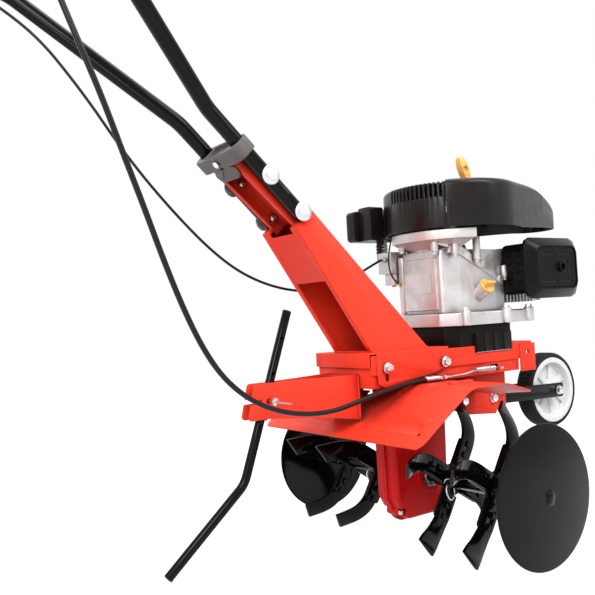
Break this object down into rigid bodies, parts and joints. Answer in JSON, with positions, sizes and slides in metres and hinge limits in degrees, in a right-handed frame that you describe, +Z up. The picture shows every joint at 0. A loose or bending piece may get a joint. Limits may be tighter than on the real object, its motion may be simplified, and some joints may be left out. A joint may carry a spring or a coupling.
{
  "type": "garden tiller",
  "caption": "Petrol garden tiller with a hooked tine rotor between round plant guards, folded red frame, raised handlebars, front wheel and drag stake.",
  "frame": {"origin": "middle of the bounding box, on the ground", "axes": "+X towards the front wheel, +Y to the operator's left, +Z up"},
  "size_m": [1.5672, 0.678, 1.0707],
  "materials": {
    "red_paint": "gloss red paint on folded sheet",
    "red_casting": "gloss red paint on a casting",
    "black_paint": "gloss black paint",
    "satin_black": "satin black paint",
    "black_plastic": "satin black moulding",
    "grey_plastic": "grained dark grey moulding",
    "white_plastic": "white moulding",
    "orange_plastic": "orange moulding",
    "aluminium": "die-cast aluminium",
    "zinc": "zinc-plated steel",
    "steel": "bare steel",
    "bronze": "bronze",
    "rubber": "black rubber",
    "tyre_rubber": "black tyre rubber"
  },
  "bodies": {
    "chassis": {"deck_frame": "red_paint", "stake_bracket": "red_paint", "fender": "red_paint", "gear_case_left": "red_casting", "gear_case_right": "red_casting", "case_bolts": "zinc", "case_bearings": "steel", "wheel_bracket": "red_paint", "deck_bolts": "zinc", "clutch_rod": "zinc", "clutch_spring": "zinc", "v_belt": "rubber", "belt_cover": "black_plastic", "sump": "aluminium", "crankcase": "aluminium", "dipstick": "orange_plastic", "cylinder_block": "aluminium", "cylinder_head": "aluminium", "muffler": "satin_black", "muffler_guard": "satin_black", "blower_shroud": "black_plastic", "recoil_cover": "black_plastic", "air_filter": "black_plastic", "carburettor": "aluminium", "fuel_tank": "black_plastic", "starter_rope": "rubber", "clutch_cable": "rubber", "throttle_cable": "rubber"},
    "handle": {"handle_column": "red_paint", "handle_tube_left": "black_paint", "handle_tube_right": "black_paint", "grip_left": "rubber", "grip_right": "rubber", "tube_collar": "grey_plastic", "handle_bolts": "zinc", "lever_clamp": "black_plastic", "throttle_housing": "black_plastic"},
    "clutch_lever": {"clutch_lever": "black_plastic"},
    "throttle_lever": {"throttle_lever": "orange_plastic"},
    "tine_rotor": {"tine_axle": "steel", "worm_wheel": "bronze", "tine_hubs_left": "black_paint", "tine_hubs_right": "black_paint", "tines_left": "black_paint", "tines_right": "black_paint", "rotor_fasteners": "zinc", "plant_guard_left": "black_paint", "plant_guard_right": "black_paint"},
    "worm_drive": {"worm_shaft": "steel"},
    "crank": {"crankshaft": "steel"},
    "idler_arm": {"idler_arm": "steel"},
    "idler_pulley": {"idler_pulley": "black_plastic"},
    "wheel_fork": {"wheel_fork": "black_paint", "wheel_axle": "zinc"},
    "wheel": {"wheel_rim": "white_plastic", "tyre": "tyre_rubber"},
    "drag_stake": {"drag_stake": "black_paint"},
    "stake_pin": {"stake_pin": "zinc"},
    "starter_grip": {"starter_grip": "orange_plastic"},
    "fuel_cap": {"fuel_cap": "black_plastic"}
  },
  "joints": [
    {"name": "handle_tilt", "type": "hinge", "parent": "chassis", "child": "handle", "pos_m": [0.24431, 0, 0.36633], "axis": [0, 1, 0], "range_deg": [0, 7]},
    {"name": "clutch_squeeze", "type": "hinge", "parent": "handle", "child": "clutch_lever", "pos_m": [-0.61984, -0.19415, 1.00458], "axis": [-0.1189, 0.9929, -0.0083], "range_deg": [0, 10], "stiffness_Nm_per_rad": 6, "springref_deg": -14.32},
    {"name": "throttle_turn", "type": "hinge", "parent": "handle", "child": "throttle_lever", "pos_m": [-0.62193, 0.19415, 1.0345], "axis": [-0.0698, 0, 0.9976], "range_deg": [-35, 35]},
    {"name": "tine_spin", "type": "hinge", "parent": "chassis", "child": "tine_rotor", "pos_m": [0.2478, 0, 0.13], "axis": [0, 1, 0], "continuous": true},
    {"name": "worm_spin", "type": "hinge", "parent": "chassis", "child": "worm_drive", "pos_m": [0.18297, 0, 0.22571], "axis": [-0.0698, 0, 0.9976], "continuous": true},
    {"name": "crank_spin", "type": "hinge", "parent": "chassis", "child": "crank", "pos_m": [0.36953, 0, 0.53949], "axis": [-0.0698, 0, 0.9976], "continuous": true},
    {"name": "idler_swing", "type": "hinge", "parent": "chassis", "child": "idler_arm", "pos_m": [0.40872, -0.04, 0.35177], "axis": [-0.0698, 0, 0.9976], "range_deg": [-2.2, 0]},
    {"name": "idler_spin", "type": "hinge", "parent": "idler_arm", "child": "idler_pulley", "pos_m": [0.29098, -0.065, 0.3726], "axis": [-0.0698, 0, 0.9976], "continuous": true},
    {"name": "wheel_swing", "type": "hinge", "parent": "chassis", "child": "wheel_fork", "pos_m": [0.34969, 0, 0.27847], "axis": [0, 1, 0], "range_deg": [0, 33]},
    {"name": "wheel_spin", "type": "hinge", "parent": "wheel_fork", "child": "wheel", "pos_m": [0.69262, 0, 0.29142], "axis": [0, 1, 0], "continuous": true},
    {"name": "stake_slide", "type": "slide", "parent": "chassis", "child": "drag_stake", "axis": [0.2798, 0, 0.96], "range_m": [-0.018, 0.026]},
    {"name": "stake_pin_pull", "type": "slide", "parent": "chassis", "child": "stake_pin", "axis": [0, -1, 0], "range_m": [0, 0.05]},
    {"name": "starter_pull", "type": "slide", "parent": "chassis", "child": "starter_grip", "axis": [0, 0, 1], "range_m": [0, 0.45], "stiffness_N_per_m": 12, "springref_m": -0.1, "deforming": ["starter_rope"]},
    {"name": "fuel_cap_turn", "type": "hinge", "parent": "chassis", "child": "fuel_cap", "pos_m": [0.46036, 0.156, 0.67415], "axis": [-0.0698, 0, 0.9976], "range_deg": [0, 90]}
  ],
  "couplings": [
    {"joint": "worm_spin", "follows": "tine_spin", "ratio": 28},
    {"joint": "idler_swing", "follows": "clutch_squeeze", "ratio": -0.22}
  ]
}
